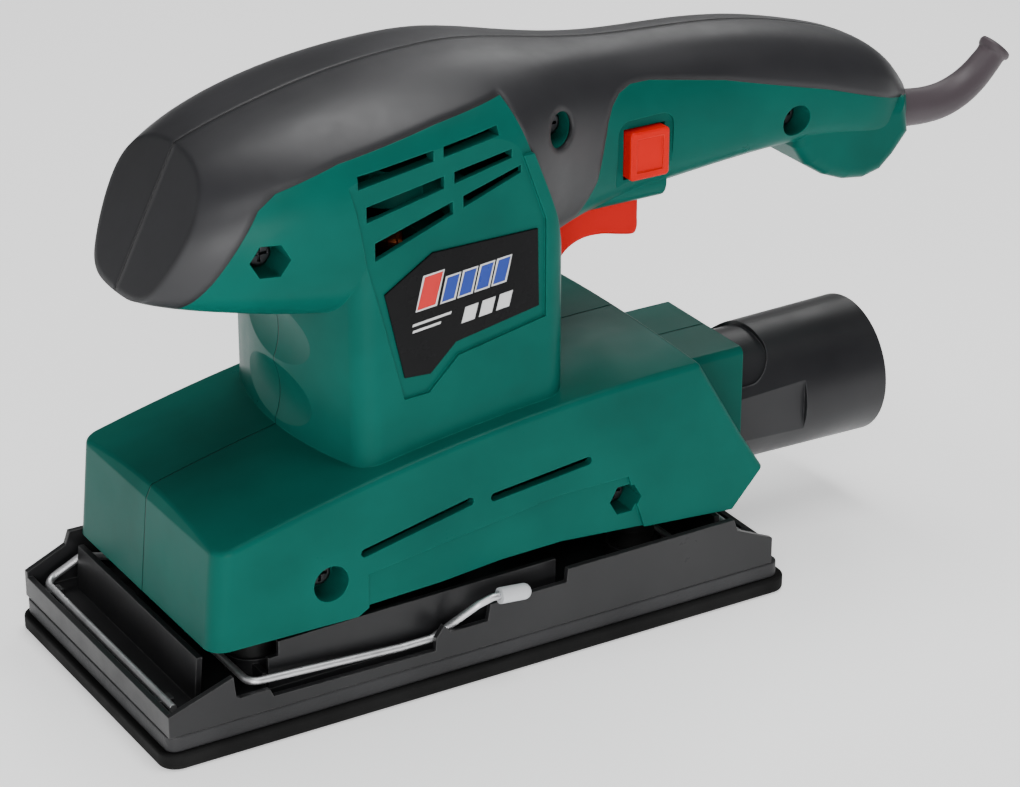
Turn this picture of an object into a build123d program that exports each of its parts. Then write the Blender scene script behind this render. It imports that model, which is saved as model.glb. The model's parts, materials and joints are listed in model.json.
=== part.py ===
from build123d import *
import os
from math import cos, sin, pi, hypot

# Third-sheet orbital finishing sander, millimetres.
# Origin: centre of the sanding pad's underside. +X points to the handle's cord end, +Z up.
# -Y is the tool's left side, which carries the lock button and the screw recesses.

# ---- Driving dimensions -------------------------------------------------------------------
PAD_LENGTH = 187.0
PAD_WIDTH = 90.0
PAD_THICK = 4.3
PLATE_THICK = 4.4
PLATE_CENTRE_X = -0.4          # the plate and the tray sit a little forward on the pad
PLATE_LENGTH = 183.0
PLATE_WIDTH = 87.2
TRAY_FRONT = -91.6
TRAY_REAR = 88.4
TRAY_HALF = 43.3
TRAY_WALL = 1.6
TRAY_FLOOR = 2.2

WALL = 2.6                     # moulded housing wall
RUBBER = 1.6                   # soft grip overmould
SEAM = 0.04                    # half of the gap in the parting plane
RUNNING_GAP = 0.05             # radial clearance of the running fits

FOOT_HALF = 40.0
NECK_HALF = 35.0
MOTOR_X = -1.6
THROW = 1.0                    # eccentricity of the orbit

PLATE_Z = PAD_THICK
TRAY_Z = PAD_THICK + PLATE_THICK
FLOOR_TOP = TRAY_Z + TRAY_FLOOR
TRAY_CENTRE_X = (TRAY_FRONT + TRAY_REAR) / 2

BEARING_6000 = dict(bore=10.0, outer=26.0, width=8.0)
BEARING_608 = dict(bore=8.0, outer=22.0, width=7.0)
BEARING_607 = dict(bore=7.0, outer=19.0, width=6.0)

HUB_Z = 14.0
WEIGHT_Z = 24.4
LOWER_BEARING_Z = 40.5
FAN_Z = 50.5
CORE_Z = 72.0
CORE_HEIGHT = 28.0
COMMUTATOR_Z = 108.5
UPPER_BEARING_Z = 124.0
SHAFT_TOP = 131.5

WIRE = 1.0                     # radius of the clamp wire
SCREW_SITES = [                # x, z, half width there, hexagonal recess, recess radius
    (-44.0, 37.2, 40.0, False, 4.9),
    (43.5, 37.8, 40.0, True, 4.6),
    (-53.5, 123.0, 31.0, True, 4.9),
    (30.3, 139.2, 28.0, False, 4.6),
    (109.0, 123.9, 19.5, False, 4.4),
]
RECESS_DEPTH = 9.0

# Stations of the grip and handle: x, half width, lowest z, widest z, highest z
GRIP_STATIONS = [
    (-86.0, 11.0, 113.5, 119.0, 126.0),
    (-74.0, 20.5, 108.0, 122.0, 139.5),
    (-60.0, 28.5, 104.8, 127.0, 146.5),
    (-42.0, 33.6, 101.0, 132.0, 152.0),
    (-22.0, 35.6, 98.5, 134.0, 156.2),
    (0.0, 35.7, 98.5, 135.0, 158.3),
    (14.0, 34.4, 99.5, 135.0, 158.2),
    (28.0, 29.0, 103.0, 134.5, 156.2),
    (42.0, 23.0, 106.5, 133.0, 153.6),
    (58.0, 20.2, 109.5, 131.5, 151.4),
    (82.0, 19.5, 112.2, 131.0, 150.0),
    (104.0, 19.3, 114.0, 129.5, 147.6),
    (124.0, 18.8, 113.5, 126.5, 142.8),
    (141.0, 17.0, 109.5, 122.0, 136.0),
    (147.5, 13.5, 107.2, 118.5, 131.0),
    (153.0, 9.0, 108.5, 116.0, 124.8),
]
SQUARENESS_TOP = 2.5
SQUARENESS_LOW = 3.3
SECTION_POINTS = 20
NOSE_LOW = (-79.2, 113.4)      # two points of the flat facet across the nose
NOSE_HIGH = (-64.1, 143.5)

# The line where the green shell stops and the soft grip starts, seen from the side
RUBBER_LINE = [
    (-90.0, 100.0), (-73.5, 100.0), (-71.5, 110.5), (-66.0, 118.5), (-55.5, 136.0), (-51.0, 139.5),
    (-35.0, 144.5), (-8.0, 149.3), (12.5, 152.0), (18.0, 138.0), (20.0, 119.0), (22.0, 90.0),
    (38.0, 90.0), (39.6, 110.8), (45.1, 120.5), (46.9, 130.0), (48.2, 135.8), (50.0, 139.6),
    (52.8, 142.2), (57.0, 143.6), (63.0, 143.4), (86.0, 139.4), (119.0, 130.8), (141.0, 123.8),
    (175.0, 113.0),
    (175.0, 175.0), (-90.0, 175.0),
]


# ---- Small helpers ------------------------------------------------------------------------
def upright(x, y, z, radius, height):
    """Cylinder standing on (x, y, z)."""
    return Pos(x, y, z + height / 2) * Cylinder(radius, height)


def across(x, z, radius, y_low, y_high):
    """Cylinder along Y between two y values."""
    length = y_high - y_low
    return Pos(x, (y_low + y_high) / 2, z) * Rot(90, 0, 0) * Cylinder(radius, length)


def along(x_low, x_high, y, z, radius):
    """Cylinder along X between two x values."""
    length = x_high - x_low
    return Pos((x_low + x_high) / 2, y, z) * Rot(0, 90, 0) * Cylinder(radius, length)


def block(x_range, y_range, z_range):
    """Box from its three ranges."""
    size = [high - low for low, high in (x_range, y_range, z_range)]
    middle = [(high + low) / 2 for low, high in (x_range, y_range, z_range)]
    return Pos(*middle) * Box(*size)


def side_slab(points, y_low, y_high):
    """Solid from an outline in the XZ plane, between two y values."""
    outline = Polyline(*points, close=True)
    face = make_face(Plane.XZ * outline)
    return extrude(Pos(0, y_high, 0) * face, amount=y_high - y_low, dir=(0, -1, 0))


def plan_slab(face, z_low, z_high):
    """Solid from a face in the XY plane, between two heights."""
    return extrude(Pos(0, 0, z_low) * face, amount=z_high - z_low)


def ring(x, y, z, outer, inner, height):
    """Upright tube."""
    return upright(x, y, z, outer, height) - upright(x, y, z - 1, inner, height + 2)


# ---- Outer shapes, each with an inset for the wall --------------------------------------
FOOT_OUTLINE = [
    (-77.6, 26.2), (-36.5, 25.8), (-33.0, 27.8), (-12.0, 28.6), (6.0, 30.2), (24.0, 30.6),
    (77.2, 26.4), (86.8, 37.0), (80.2, 47.2), (58.0, 85.0), (-60.0, 85.0), (-75.2, 52.0),
]
TOP_ARC_X = 66.2               # the foot's top is an arc of this centre and radius, crowned
TOP_ARC_Z = -460.5
TOP_ARC_R = 532.1
CROWN = 2.4


def foot(inset=0.0):
    """Lower body: side outline under a crowned, arched top."""
    outline = make_face(Plane.XZ * Polyline(*FOOT_OUTLINE, close=True))
    if inset:
        outline = offset(outline, amount=-inset)
    half = FOOT_HALF - inset
    sides = extrude(Pos(0, half, 0) * outline, amount=2 * half, dir=(0, -1, 0))
    radius = TOP_ARC_R - inset
    low = radius - 60
    section = Polyline((half, radius), (half, low), (-half, low), (-half, radius))
    crown = ThreePointArc((-half, radius), (0, radius + CROWN), (half, radius))
    face = make_face(Curve() + [section, crown])
    start = Plane(origin=(TOP_ARC_X, 0, TOP_ARC_Z), x_dir=(0, 1, 0), z_dir=(1, 0, 0))
    arch = revolve(start * face, Axis((TOP_ARC_X, 0, TOP_ARC_Z), (0, 1, 0)), 24)
    arch = arch.rotate(Axis((TOP_ARC_X, 0, TOP_ARC_Z), (0, 1, 0)), -20)
    solid = sides & arch
    if inset:
        return solid
    corners = solid.edges().filter_by(lambda e: e.center().X < -74 and 30 < e.center().Z < 45)
    corners = corners.filter_by(lambda e: abs(e.center().Y) > 38)
    solid = fillet(corners, 5.0)
    return fillet(solid.edges().filter_by(lambda e: e.center().Z > 45), 1.5)


def neck_face(inset=0.0):
    """Plan of the neck: bowed front, flat sides, rounded corners."""
    front = -38.0 + inset
    side = -31.0 + inset
    rear = 29.0 - inset
    half = NECK_HALF - inset
    bow = ThreePointArc((side, half), (front, 0), (side, -half))
    back = Polyline((side, -half), (rear, -half), (rear, half), (side, half))
    face = make_face(Curve() + [bow, back])
    return fillet(face.vertices(), 7.0 - inset / 2)


NECK_SIDE = [(-60.0, 45.0), (29.0, 45.0), (29.0, 106.0), (25.5, 119.0), (18.0, 138.0), (-60.0, 138.0)]


def neck(inset=0.0):
    """Motor column between the lower body and the grip, cut back at its top rear."""
    rear_cut = side_slab([(x - inset, z) for x, z in NECK_SIDE], -60, 60)
    return plan_slab(neck_face(inset), 50.0, 138.0) & rear_cut


def grip_section(x, half, low, wide, high, inset):
    """One closed section of the grip, a squared ellipse flatter above than below."""
    points = []
    for step in range(SECTION_POINTS):
        turn = 2 * pi * (step + 0.5) / SECTION_POINTS - pi / 2
        power = SQUARENESS_TOP if sin(turn) > 0 else SQUARENESS_LOW
        reach = high - wide if sin(turn) > 0 else wide - low
        y = (half - inset) * (1 if cos(turn) > 0 else -1) * abs(cos(turn)) ** (2 / power)
        z = wide + (reach - inset) * (1 if sin(turn) > 0 else -1) * abs(sin(turn)) ** (2 / power)
        points.append((x, y, z))
    return Face(Wire(Spline(*points, periodic=True)))


def nose_cutter(inset=0.0):
    """Everything in front of the nose facet."""
    run = NOSE_HIGH[0] - NOSE_LOW[0]
    rise = NOSE_HIGH[1] - NOSE_LOW[1]
    length = hypot(run, rise)
    shift = inset * length / rise
    low = (NOSE_LOW[0] - 2 * run + shift, NOSE_LOW[1] - 2 * rise)
    high = (NOSE_HIGH[0] + 2 * run + shift, NOSE_HIGH[1] + 2 * rise)
    points = [low, high, (-160, high[1]), (-160, low[1])]
    return side_slab(points, -60, 60)


def grip(inset=0.0):
    """Palm grip and rear handle in one sweep of sections."""
    sections = []
    for x, half, low, wide, high in GRIP_STATIONS:
        sections.append(grip_section(x, half, low, wide, high, inset))
    body = loft(sections)
    return body - nose_cutter(inset)


LOBE_OUTLINE = [
    (111.5, 122.0), (112.0, 114.0), (115.8, 108.4), (121.8, 104.4), (128.4, 101.8),
    (134.8, 100.9), (140.4, 102.2), (144.6, 105.8), (149.8, 112.0), (148.3, 122.0),
]
LOBE_HALF = 16.6


def lobe(inset=0.0):
    """Finger stop under the rear end of the handle."""
    outline = make_face(Plane.XZ * Polyline(*LOBE_OUTLINE, close=True))
    if inset:
        outline = offset(outline, amount=-inset)
    half = LOBE_HALF - inset
    solid = extrude(Pos(0, half, 0) * outline, amount=2 * half, dir=(0, -1, 0))
    if inset:
        return solid
    return fillet(solid.edges().filter_by(Plane.XZ), 4.0)


SWITCH_BAY = ((24.0, 70.0), (-16.0, 16.0), (108.6, 128.0))


def switch_bay(inset=0.0):
    """Deeper stretch of the handle that holds the switch."""
    (x0, x1), (y0, y1), (z0, z1) = SWITCH_BAY
    solid = block((x0, x1 - inset), (y0 + inset, y1 - inset), (z0 + inset, z1))
    if inset:
        return solid
    return fillet(solid.edges().filter_by(Axis.X).group_by(Axis.Z)[0], 5.0)


DUCT_END = 9.0                 # depth of the collar that the nozzle's spigot fits
DUCT_RANGES = ((40.0, 94.0), (-19.1, 19.1), (24.0, 61.6))


def duct(inset=0.0):
    """Dust outlet block at the rear of the lower body."""
    (x0, x1), (y0, y1), (z0, z1) = DUCT_RANGES
    solid = block((x0, x1), (y0 + inset, y1 - inset), (z0 + inset, z1 - inset))
    if inset:
        return Pos(-DUCT_END, 0, 0) * solid
    return fillet(solid.edges().filter_by(Axis.X).group_by(Axis.Z)[-1], 2.0)


# ---- Housing ------------------------------------------------------------------------------
VENT_ROWS = [                  # each row of neck vents: start x, z, end x, z, height at each end
    (-31.2, 139.6, 8.4, 145.4, 3.4, 2.4),
    (-29.0, 131.0, 11.9, 139.0, 4.2, 2.4),
    (-26.8, 120.8, 14.6, 134.5, 4.8, 2.0),
]
VENT_SPANS = [(0.0, 0.53), (0.60, 1.0)]
FOOT_SLOTS = [(-34.2, 43.3, -3.9, 49.7), (3.5, 49.2, 31.4, 52.3)]
SLOT_HEIGHT = 2.4
SIDE_PANEL = [
    (-35.5, 147.0), (-28.6, 115.0), (-19.6, 80.0), (-12.5, 80.3), (-4.0, 88.6), (21.5, 93.5),
    (21.5, 120.0), (10.5, 150.0),
]
LABEL = [
    (-24.6, 109.2), (-11.0, 117.6), (19.2, 117.7), (19.6, 96.8), (-4.5, 92.3), (-11.9, 85.3),
    (-19.2, 85.7),
]
LOWER_PANEL = [(-33.4, 20.0), (-33.4, 37.0), (22.9, 44.6), (44.0, 44.6), (52.0, 20.0)]
PANEL_DEPTH = 0.9
LABEL_THICK = 0.5
DECK_LOW = 34.0
DECK_HIGH = 36.5
POST_SITES = [(TRAY_CENTRE_X + dx, dy) for dx in (-57.3, 57.3) for dy in (-24.0, 24.0)]
POST_RADIUS = 6.0
POST_SEAT = 16.0               # top of the tray's post bosses
POST_SCREW_FOOT = 26.0         # how deep the deck's screws reach into the posts
HUB_TOP = 22.6
BUTTON_X = (54.8, 66.8)
BUTTON_Z = (118.4, 131.6)
BUTTON_FACE = -22.0
BUTTON_BACK = -12.0
TRIGGER_X = (30.6, 67.4)
TRIGGER_TOP = 112.0
TRIGGER_HALF = 7.0
TRIGGER_TRAVEL = 4.0
FLANGE_RISE = 0.8              # the trigger's stop flange stands this far over its top
SLOT_GAP = 0.4                 # clearance all round the trigger
SLOT_TOP = 117.5
SLEEVE_Z = 113.0
SLEEVE_BORE = 5.3
FLANGE_X = (142.0, 144.6)      # the sleeve's flange, held inside the handle
FLANGE_RADIUS = 6.6
CORD_BORE = 3.3
NOZZLE_X = (94.2, 143.1)
NOZZLE_Z = 38.9
SPIGOT = 12.0
BRUSH_Z = 114.2
SWITCH_SHELF = (117.8, 119.4)
CLAMP_X = 132.5
CLAMP_Y = 8.0
CLAMP_SEAT = 112.0
CLAMP_TOP = 118.8
SWITCH_X = 46.0


def slanted_slot(x0, z0, x1, z1, tall0, tall1):
    """Outline of a slot along a sloping centre line."""
    return [(x0, z0 - tall0 / 2), (x1, z1 - tall1 / 2), (x1, z1 + tall1 / 2), (x0, z0 + tall0 / 2)]


def vent_cutter(side):
    """Six tapered vents through one neck wall."""
    cutter = []
    for x0, z0, x1, z1, tall0, tall1 in VENT_ROWS:
        for low, high in VENT_SPANS:
            ends = [(x0 + (x1 - x0) * f, z0 + (z1 - z0) * f) for f in (low, high)]
            tall = [tall0 + (tall1 - tall0) * f for f in (low, high)]
            points = slanted_slot(*ends[0], *ends[1], *tall)
            cutter.append(side_slab(points, *sorted((side * 26, side * 50))))
    return cutter


def slot_cutter(side):
    """Two thin slots through one foot wall, with round ends."""
    cutter = []
    for x0, z0, x1, z1 in FOOT_SLOTS:
        points = slanted_slot(x0, z0, x1, z1, SLOT_HEIGHT, SLOT_HEIGHT)
        cutter.append(side_slab(points, *sorted((side * 30, side * 50))))
        for x, z in ((x0, z0), (x1, z1)):
            cutter.append(across(x, z, SLOT_HEIGHT / 2, *sorted((side * 30, side * 50))))
    return cutter


def finger_grooves():
    """Two shallow finger grooves across the front of the neck."""
    return [across(-57.0, z, 20.6, -60, 60) for z in (90.5, 73.5)]


def screw_bosses():
    """Bosses that the five housing screws run through."""
    bosses = []
    for x, z, half, is_hex, radius in SCREW_SITES:
        bosses.append(across(x, z, radius + 1.2, -half + 0.8, half - 0.8))
    return bosses


def screw_holes():
    """Screw clearance on the left, thread core on the right, and the deep recess on the left."""
    holes = []
    for x, z, half, is_hex, radius in SCREW_SITES:
        floor = -half + RECESS_DEPTH
        holes.append(across(x, z, 2.1, floor - 1, 0))
        holes.append(across(x, z, 1.6, -1, half - 8))
        if is_hex:
            face = Pos(x, -60, z) * Rot(90, 0, 0) * RegularPolygon(radius, 6, major_radius=True)
            holes.append(extrude(face, amount=60 + floor, dir=(0, 1, 0)))
        else:
            holes.append(across(x, z, radius, -60, floor))
    return holes


def brush_tube(side, half_x, half_z):
    """Solid bar along Y where a brush holder lies."""
    y_range = sorted((side * 10.8, side * 27.0))
    return block((MOTOR_X - half_x, MOTOR_X + half_x), y_range, (BRUSH_Z - half_z, BRUSH_Z + half_z))


def webs(cavity):
    """Moulded walls inside: the deck, both bearing seats and the motor frame."""
    inside = cavity & block((-90, 142), (-60, 60), (20, 150))
    deck = inside & block((-76, 66), (-38, 38), (DECK_LOW, DECK_HIGH))
    deck = deck - upright(MOTOR_X, 0, DECK_LOW - 5, 24, 20)
    deck = deck - [upright(x, y, DECK_LOW - 5, 1.7, 20) for x, y in POST_SITES]
    lower = inside & block((-32, 30), (-38, 38), (LOWER_BEARING_Z - 1.5, LOWER_BEARING_Z + 8.5))
    lower = lower & upright(MOTOR_X, 0, DECK_LOW, 30, 20)
    lower = lower - upright(MOTOR_X, 0, LOWER_BEARING_Z, BEARING_608["outer"] / 2, 7.0)
    lower = lower - upright(MOTOR_X, 0, DECK_LOW, 8.5, 20)
    arms = inside & block((-78, 48), (-3, 3), (DECK_HIGH, LOWER_BEARING_Z + 3))
    arms = arms - upright(MOTOR_X, 0, DECK_LOW, 22, 20)
    frame = inside & block((-37, 29), (-36, 36), (80.0, 92.0))
    frame = frame - block((MOTOR_X - 25.05, MOTOR_X + 25.05), (-25.05, 25.05), (70, 100))
    upper_seat = inside & block((-22, 20), (-36, 36), (UPPER_BEARING_Z - 2, UPPER_BEARING_Z + 8))
    upper_seat = upper_seat & upright(MOTOR_X, 0, 110, 17, 40)
    upper_seat = upper_seat - upright(MOTOR_X, 0, UPPER_BEARING_Z, 11.5, 6.0)
    upper_seat = upper_seat - upright(MOTOR_X, 0, 110, 6.5, 40)
    bridge = inside & block((MOTOR_X - 2, MOTOR_X + 2), (-40, 40), (UPPER_BEARING_Z, 134))
    bridge = bridge - upright(MOTOR_X, 0, 110, 16, 40)
    mounts = []
    for side in (-1, 1):
        mount = block((-8.0 + MOTOR_X, 8.0 + MOTOR_X), sorted((side * 17, side * 40)),
                      (BRUSH_Z - 5.5, BRUSH_Z + 5.5))
        mounts.append((inside & mount) - brush_tube(side, 4.6, 3.6))
        stud = upright(CLAMP_X, side * CLAMP_Y, 100, 3.6, CLAMP_SEAT - 100)
        mounts.append((inside & stud) - upright(CLAMP_X, side * CLAMP_Y, 104, 1.3, 20))
    shelf = inside & block((30.5, 72.0), (-20, 20), SWITCH_SHELF)
    shelf = shelf - upright(SWITCH_X, 0, 110, 3.0, 12)
    return [deck, lower, arms, frame, upper_seat, bridge, shelf] + mounts


def housing_shell():
    """Whole green shell before it is parted, and the soft grip that covers its top."""
    palm = grip()
    column = neck() - finger_grooves()
    skin = (palm - grip(RUBBER)) & side_slab(RUBBER_LINE, -60, 60)
    skin = skin - column
    outer = foot() + duct() + column + palm + lobe() + switch_bay()
    outer = outer + along(146.0, 152.5, 0, SLEEVE_Z, 6.9)
    green = outer - skin
    inner_grip = grip(RUBBER + WALL)
    cavity = foot(WALL) + duct(WALL) + neck(WALL) + inner_grip + lobe(WALL) + switch_bay(WALL)
    cavity = cavity + block((-74.0, 76.0), (-37.2, 37.2), (20.0, DECK_LOW))
    shell = green - cavity
    shell = shell + webs(cavity)
    bosses = [boss & (cavity + shell) for boss in screw_bosses()]
    shell = shell + bosses
    return shell, skin


def trigger_slot():
    """Slot that the trigger slides in, through the shell and the soft grip behind the neck."""
    (x0, x1) = TRIGGER_X
    half = TRIGGER_HALF + SLOT_GAP
    return block((x0 - SLOT_GAP, x1 + SLOT_GAP), (-half, half), (78, SLOT_TOP))


def openings(side):
    """Everything cut through one side of the shell for moving and fitted pieces."""
    cuts = [trigger_slot()]
    cuts.append(along(140, 170, 0, SLEEVE_Z, SLEEVE_BORE))
    cuts.append(along(FLANGE_X[0] - 0.2, FLANGE_X[1] + 0.2, 0, SLEEVE_Z, FLANGE_RADIUS + 0.2))
    cuts.append(along(84, 100, 0, NOZZLE_Z, SPIGOT + RUNNING_GAP))
    cuts += vent_cutter(side)
    cuts += slot_cutter(side)
    deep = NECK_HALF - PANEL_DEPTH
    cuts.append(side_slab(SIDE_PANEL, *sorted((side * deep, side * 60))))
    low = FOOT_HALF - PANEL_DEPTH
    cuts.append(side_slab(LOWER_PANEL, *sorted((side * low, side * 60))))
    if side < 0:
        cuts.append(block((BUTTON_X[0] - 0.3, BUTTON_X[1] + 0.3), (-30, BUTTON_BACK + 3.0),
                          (BUTTON_Z[0] - 0.3, BUTTON_Z[1] + 0.3)))
        pocket = block((51.6, 69.4), (-30, -18.9), (115.4, 134.6))
        cuts.append(fillet(pocket.edges().filter_by(Axis.Y), 3.5))
    return cuts


def make_housing():
    """Left and right halves of the shell and of its soft grip."""
    shell, skin = housing_shell()
    holes = screw_holes()
    parts = {}
    for side, name in ((-1, "left"), (1, "right")):
        half = block((-200, 260), sorted((side * SEAM, side * 100)), (-50, 300))
        body = shell & half
        for cut in openings(side) + holes:
            body = body - cut
        parts[name + "_housing"] = body
        cover = skin & half
        for cut in [trigger_slot()] + holes:
            cover = cover - cut
        parts[name + "_soft_grip"] = cover
    return parts


# ---- Controls -----------------------------------------------------------------------------
def coil_spring(x, y, z, radius, wire, height, turns):
    """Coil spring standing on (x, y, z)."""
    pitch = (height - 2 * wire) / turns
    path = Helix(pitch, height - 2 * wire, radius)
    start = Plane(origin=path @ 0, z_dir=path % 0)
    return Pos(x, y, z + wire) * sweep(start * Circle(wire), path)


TRIGGER_OUTLINE = [
    (TRIGGER_X[0], TRIGGER_TOP), (TRIGGER_X[0], 81.0), (36.0, 81.0), (40.6, 86.5), (42.4, 93.6),
    (50.5, 98.4), (65.8, 96.3), (TRIGGER_X[1], 98.6), (TRIGGER_X[1], TRIGGER_TOP),
]


def make_trigger():
    """Finger trigger with a stop flange and a bore for its return spring."""
    solid = side_slab(TRIGGER_OUTLINE, -TRIGGER_HALF, TRIGGER_HALF)
    rims = solid.edges().filter_by(lambda e: e.center().Z < 99.5 and abs(e.center().Y) > 6)
    solid = fillet(rims, 0.9)
    flange_z = (TRIGGER_TOP - 0.6, TRIGGER_TOP + FLANGE_RISE)
    flange = block(TRIGGER_X, (-TRIGGER_HALF - 1.6, TRIGGER_HALF + 1.6), flange_z)
    return solid + flange - upright(58.0, 0, TRIGGER_TOP - 6, 3.6, 10)


def make_button():
    """Lock button with a raised rim and a bore behind it."""
    body = block(BUTTON_X, (BUTTON_FACE, BUTTON_BACK), BUTTON_Z)
    body = fillet(body.edges().filter_by(Axis.Y), 1.2)
    body = fillet(body.faces().sort_by(Axis.Y)[0].edges(), 0.7)
    rim = 2.0
    dish = block((BUTTON_X[0] + rim, BUTTON_X[1] - rim), (BUTTON_FACE - 1, BUTTON_FACE + 0.6),
                 (BUTTON_Z[0] + rim, BUTTON_Z[1] - rim))
    middle = (sum(BUTTON_X) / 2, sum(BUTTON_Z) / 2)
    return body - dish - across(*middle, 3.6, BUTTON_BACK - 5.5, BUTTON_BACK + 1)


def make_controls():
    """Trigger, lock button, their springs, and the switch behind them."""
    middle = (sum(BUTTON_X) / 2, sum(BUTTON_Z) / 2)
    lock_spring = coil_spring(0, 0, 0, 2.6, 0.35, 5.6, 4)
    lock_spring = Pos(middle[0], BUTTON_BACK + 3.0, middle[1]) * Rot(90, 0, 0) * lock_spring
    plate = block((middle[0] - 5.5, middle[0] + 5.5), (BUTTON_BACK + 3.05, BUTTON_BACK + 4.2),
                  (SWITCH_SHELF[1], BUTTON_Z[1]))
    switch = block((37.0, 55.0), (-7.5, 7.5), (SWITCH_SHELF[1], 137.0))
    switch = fillet(switch.edges().filter_by(Axis.Z), 1.0)
    plunger = TRIGGER_TOP + FLANGE_RISE + TRIGGER_TRAVEL + 0.2
    switch = switch + upright(SWITCH_X, 0, plunger, 2.6, 4)
    for x in (40.0, 45.0, 50.0):
        switch = switch + block((x, x + 1), (-3, 3), (137.0, 141.0))
    return {
        "trigger": make_trigger(),
        "trigger_spring": coil_spring(58.0, 0, TRIGGER_TOP - 6, 2.8, 0.4, SWITCH_SHELF[0] - 106.0, 6),
        "lock_button": make_button(),
        "lock_button_spring": lock_spring,
        "lock_spring_plate": plate,
        "switch_body": switch,
    }


# ---- Motor --------------------------------------------------------------------------------
def ball_bearing(x, z, bore, outer, width):
    """Deep groove ball bearing: two rings, their balls and a cage ring."""
    inner_ring = (bore / 2 + (outer - bore) * 0.16)
    outer_ring = (outer / 2 - (outer - bore) * 0.13)
    pitch = (inner_ring + outer_ring) / 2
    ball = (outer_ring - inner_ring) / 2 - 0.05
    solids = [ring(x, 0, z, inner_ring, bore / 2 + RUNNING_GAP, width)]
    solids.append(ring(x, 0, z, outer / 2, outer_ring, width))
    count = int(2 * pi * pitch / (2.9 * ball))
    for index in range(count):
        turn = 2 * pi * index / count
        spot = Pos(x + pitch * cos(turn), pitch * sin(turn), z + width / 2)
        solids.append(spot * Sphere(ball))
    return Compound(children=solids)


def make_fan():
    """Radial fan: hub, back plate and curved blades."""
    fan = upright(MOTOR_X, 0, FAN_Z, 26.0, 1.6) + upright(MOTOR_X, 0, FAN_Z, 8.0, 9.5)
    blades = 11
    for index in range(blades):
        blade = block((7.5, 25.6), (-0.7, 0.7), (FAN_Z + 1.5, FAN_Z + 8.8))
        lean = Pos(7.5, 0, 0) * Rot(0, 0, -18) * Pos(-7.5, 0, 0)
        fan = fan + Pos(MOTOR_X, 0, 0) * Rot(0, 0, 360 * index / blades) * lean * blade
    fan = fan & upright(MOTOR_X, 0, FAN_Z, 26.0, 20)
    return fan - upright(MOTOR_X, 0, FAN_Z - 1, 4.0, 20)


def make_armature():
    """Rotor core with its winding slots, the windings, and the commutator."""
    core = upright(MOTOR_X, 0, CORE_Z, 14.0, CORE_HEIGHT) - upright(MOTOR_X, 0, CORE_Z - 1, 4.0, 40)
    slots = 12
    for index in range(slots):
        slot = block((8.6, 13.0), (-1.3, 1.3), (CORE_Z - 1, CORE_Z + 40))
        mouth = block((12.0, 15.0), (-0.6, 0.6), (CORE_Z - 1, CORE_Z + 40))
        core = core - Pos(MOTOR_X, 0, 0) * Rot(0, 0, 360 * index / slots) * (slot + mouth)
    windings = []
    for z, height in ((CORE_Z - 6.5, 6.4), (CORE_Z + CORE_HEIGHT + 0.1, 6.8)):
        turns = upright(MOTOR_X, 0, z, 12.4, height)
        turns = fillet(turns.edges(), 2.4) - upright(MOTOR_X, 0, z - 1, 4.4, 20)
        windings.append(turns)
    bars = 24
    commutator = upright(MOTOR_X, 0, COMMUTATOR_Z, 9.0, 11.5)
    commutator = commutator + upright(MOTOR_X, 0, COMMUTATOR_Z, 10.0, 1.6)
    commutator = commutator - upright(MOTOR_X, 0, COMMUTATOR_Z - 1, 4.02, 20)
    for index in range(bars):
        groove = block((8.3, 11.0), (-0.2, 0.2), (COMMUTATOR_Z - 1, COMMUTATOR_Z + 14))
        commutator = commutator - Pos(MOTOR_X, 0, 0) * Rot(0, 0, 360 * index / bars) * groove
    return core, Compound(children=windings), commutator


def make_stator():
    """Laminated field core with two windows, and the two field coils in them."""
    half = 25.0
    core = block((MOTOR_X - half, MOTOR_X + half), (-half, half), (CORE_Z, CORE_Z + CORE_HEIGHT))
    core = fillet(core.edges().filter_by(Axis.Z), 7.0)
    core = core - upright(MOTOR_X, 0, CORE_Z - 1, 14.5, 40)
    coils = []
    for side in (-1, 1):
        for wing in (-1, 1):
            x_range = sorted((MOTOR_X + wing * 11.8, MOTOR_X + wing * 19.2))
            y_range = sorted((side * 15.3, side * 20.7))
            core = core - block(x_range, y_range, (CORE_Z - 1, CORE_Z + 40))
        outer = block((MOTOR_X - 19, MOTOR_X + 19), sorted((side * 15.5, side * 20.5)),
                      (CORE_Z - 6, CORE_Z + CORE_HEIGHT + 6))
        outer = fillet(outer.edges().filter_by(Axis.Y), 4.0)
        inner = block((MOTOR_X - 12, MOTOR_X + 12), sorted((side * 15, side * 21)),
                      (CORE_Z - 0.3, CORE_Z + CORE_HEIGHT + 0.3))
        coils.append(outer - inner)
    return core, Compound(children=coils)


def make_brushes():
    """Brush holders, carbon brushes and their springs, one pair of each."""
    holders = []
    brushes = []
    springs = []
    for side in (-1, 1):
        tube = brush_tube(side, 4.55, 3.55) - brush_tube(side, 3.6, 2.6)
        holders.append(tube)
        y_range = sorted((side * 9.0, side * 18.0))
        brush = block((MOTOR_X - 3.5, MOTOR_X + 3.5), y_range, (BRUSH_Z - 2.5, BRUSH_Z + 2.5))
        brushes.append(brush - upright(MOTOR_X, 0, BRUSH_Z - 6, 9.3, 12))
        coil = Rot(-90 * side, 0, 0) * coil_spring(0, 0, 0, 1.8, 0.3, 8.6, 6)
        springs.append(Pos(MOTOR_X, side * 18.1, BRUSH_Z) * coil)
    return Compound(children=holders), Compound(children=brushes), Compound(children=springs)


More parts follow.
